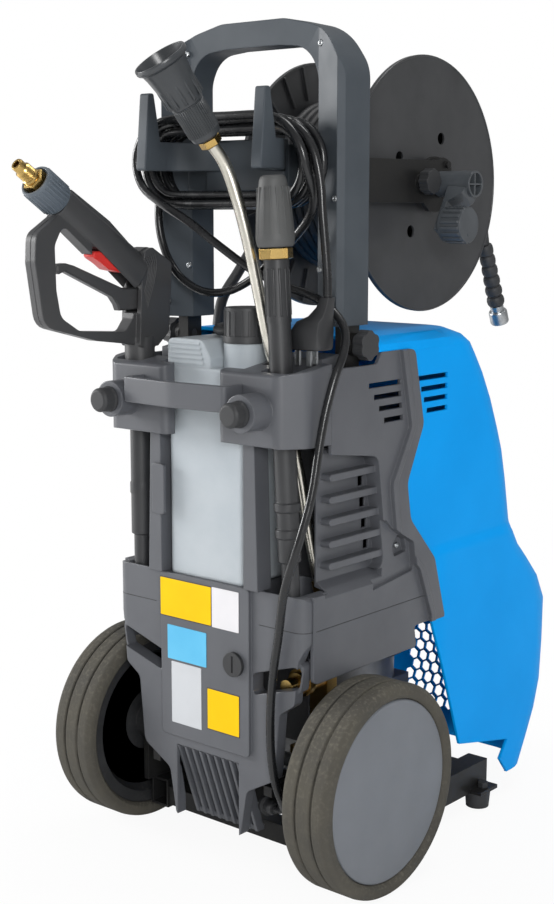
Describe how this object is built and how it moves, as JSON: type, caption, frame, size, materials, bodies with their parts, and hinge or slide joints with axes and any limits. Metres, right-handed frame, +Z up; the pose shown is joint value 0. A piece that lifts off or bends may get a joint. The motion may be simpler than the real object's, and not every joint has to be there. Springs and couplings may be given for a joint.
{
  "type": "wheeled sprayer cart",
  "caption": "Upright pressure washer cart on two wheels with hose reel, detergent tank, spray gun and two lances stowed, and a coiled power cable.",
  "frame": {"origin": "on the floor, under the middle of the box round the machine without its cable", "axes": "+X to the right seen from behind and along the wheel axle, +Y forward towards the hood, +Z up"},
  "size_m": [0.437, 0.7277, 0.991],
  "materials": {
    "tyre_rubber": "moulded rubber tread",
    "rim_plastic": "moulded black",
    "wheel_cover_plastic": "smooth grey moulded",
    "zinc_steel": "zinc plated",
    "frame_steel": "black powder coat",
    "black_rubber": "soft black",
    "body_plastic": "fine moulded grain, dark grey",
    "inner_plastic": "moulded dark",
    "tank_plastic": "translucent blow moulded",
    "black_plastic": "moulded black",
    "hood_blue": "satin blue moulded",
    "motor_black": "painted cast",
    "pump_cast": "raw casting",
    "brass": "machined",
    "handle_plastic": "moulded dark grey",
    "reel_steel": "black powder coat",
    "hose_rubber": "wrapped rubber",
    "latch_red": "moulded red",
    "collar_grey": "moulded grey",
    "lance_steel": "drawn stainless tube",
    "cable_black": "black cable jacket"
  },
  "bodies": {
    "cart": {"axle": "zinc_steel", "chassis": "frame_steel", "front_feet": "black_rubber", "rear_panel": "body_plastic", "side_wall_left": "body_plastic", "side_wall_right": "body_plastic", "shoulder_left": "body_plastic", "shoulder_right": "body_plastic", "hanger_bar": "body_plastic", "cable_pegs": "black_rubber", "bay_wall": "inner_plastic", "grille_fins": "body_plastic", "tank": "tank_plastic", "suction_hose": "hose_rubber", "hood": "hood_blue", "motor": "motor_black", "fan_cover": "inner_plastic", "pump": "pump_cast", "water_inlet": "brass", "feed_hose": "hose_rubber", "handle": "handle_plastic", "handle_brackets": "frame_steel", "cable_hook": "handle_plastic", "reel_arms": "frame_steel", "hose_tail": "hose_rubber", "hose_bend_guard": "black_rubber", "turbo_nozzle": "handle_plastic", "turbo_lance": "black_plastic", "bent_lance": "lance_steel", "cable_coil": "cable_black", "cable_lead": "cable_black", "plug_lead": "cable_black", "plug": "black_plastic", "cable_gland": "black_rubber"},
    "wheel_left": {"tyre_left": "tyre_rubber", "rim_left": "rim_plastic", "wheel_cover_left": "wheel_cover_plastic"},
    "wheel_right": {"tyre_right": "tyre_rubber", "rim_right": "rim_plastic", "wheel_cover_right": "wheel_cover_plastic"},
    "reel": {"reel_flanges": "reel_steel", "reel_shaft": "frame_steel", "hose_winding": "hose_rubber", "reel_crank": "black_plastic"},
    "crank_knob": {"crank_knob": "black_plastic"},
    "reel_lock_knob": {"reel_lock_knob": "black_plastic"},
    "clamp_knob_left": {"clamp_knob_left": "black_plastic"},
    "clamp_knob_right": {"clamp_knob_right": "black_plastic"},
    "tank_cap": {"tank_cap": "black_plastic"},
    "dosing_dial": {"dosing_dial": "black_plastic"},
    "gun": {"gun_body": "black_plastic", "gun_nipple": "brass", "gun_lance": "black_plastic"},
    "gun_trigger": {"gun_trigger": "black_plastic"},
    "gun_latch": {"gun_latch": "latch_red"},
    "gun_collar": {"gun_collar": "collar_grey"},
    "multi_nozzle": {"multi_nozzle": "black_plastic"},
    "hose_nut": {"hose_nut": "zinc_steel"},
    "main_switch": {"main_switch": "black_plastic"}
  },
  "joints": [
    {"name": "wheel_left_spin", "type": "hinge", "parent": "cart", "child": "wheel_left", "pos_m": [-0.186, -0.11775, 0.125], "axis": [1, 0, 0], "continuous": true},
    {"name": "wheel_right_spin", "type": "hinge", "parent": "cart", "child": "wheel_right", "pos_m": [0.186, -0.11775, 0.125], "axis": [1, 0, 0], "continuous": true},
    {"name": "reel_spin", "type": "hinge", "parent": "cart", "child": "reel", "pos_m": [0, 0.12125, 0.809], "axis": [1, 0, 0], "continuous": true},
    {"name": "crank_knob_spin", "type": "hinge", "parent": "reel", "child": "crank_knob", "pos_m": [0.15, 0.09425, 0.7605], "axis": [1, 0, 0], "continuous": true},
    {"name": "reel_lock_turn", "type": "hinge", "parent": "cart", "child": "reel_lock_knob", "pos_m": [0.115, 0.07925, 0.812], "axis": [1, 0, 0], "continuous": true},
    {"name": "clamp_left_turn", "type": "hinge", "parent": "cart", "child": "clamp_knob_left", "pos_m": [-0.145, -0.08575, 0.628], "axis": [1, 0, 0], "continuous": true},
    {"name": "clamp_right_turn", "type": "hinge", "parent": "cart", "child": "clamp_knob_right", "pos_m": [0.145, -0.08575, 0.628], "axis": [1, 0, 0], "continuous": true},
    {"name": "tank_cap_turn", "type": "hinge", "parent": "cart", "child": "tank_cap", "pos_m": [0.03, -0.15375, 0.65], "axis": [0, 0, 1], "continuous": true},
    {"name": "dosing_turn", "type": "hinge", "parent": "cart", "child": "dosing_dial", "pos_m": [0.048, -0.19775, 0.261], "axis": [0, -1, 0], "range_deg": [-135, 135]},
    {"name": "gun_lift", "type": "slide", "parent": "cart", "child": "gun", "axis": [0, 0, 1], "range_m": [0, 0.03]},
    {"name": "trigger_pull", "type": "hinge", "parent": "gun", "child": "gun_trigger", "pos_m": [-0.118, -0.18175, 0.676], "axis": [1, 0, 0], "range_deg": [-10, 0], "stiffness_Nm_per_rad": 0.4, "springref_deg": 5.73},
    {"name": "latch_flip", "type": "hinge", "parent": "gun", "child": "gun_latch", "pos_m": [-0.118, -0.20275, 0.707], "axis": [1, 0, 0], "range_deg": [0, 10]},
    {"name": "gun_collar_turn", "type": "hinge", "parent": "gun", "child": "gun_collar", "pos_m": [-0.118, -0.30275, 0.788], "axis": [0, -0.8263, 0.5632], "continuous": true},
    {"name": "multi_nozzle_turn", "type": "hinge", "parent": "cart", "child": "multi_nozzle", "pos_m": [0.04, -0.21975, 0.848], "axis": [-0.1705, -0.5576, 0.8124], "continuous": true},
    {"name": "hose_nut_turn", "type": "hinge", "parent": "cart", "child": "hose_nut", "pos_m": [0.0734, 0.31025, 0.65], "axis": [0, 0.3732, -0.9277], "continuous": true},
    {"name": "main_switch_turn", "type": "hinge", "parent": "cart", "child": "main_switch", "pos_m": [0, 0.35225, 0.232], "axis": [0, 1, 0], "range_deg": [-90, 0]}
  ]
}
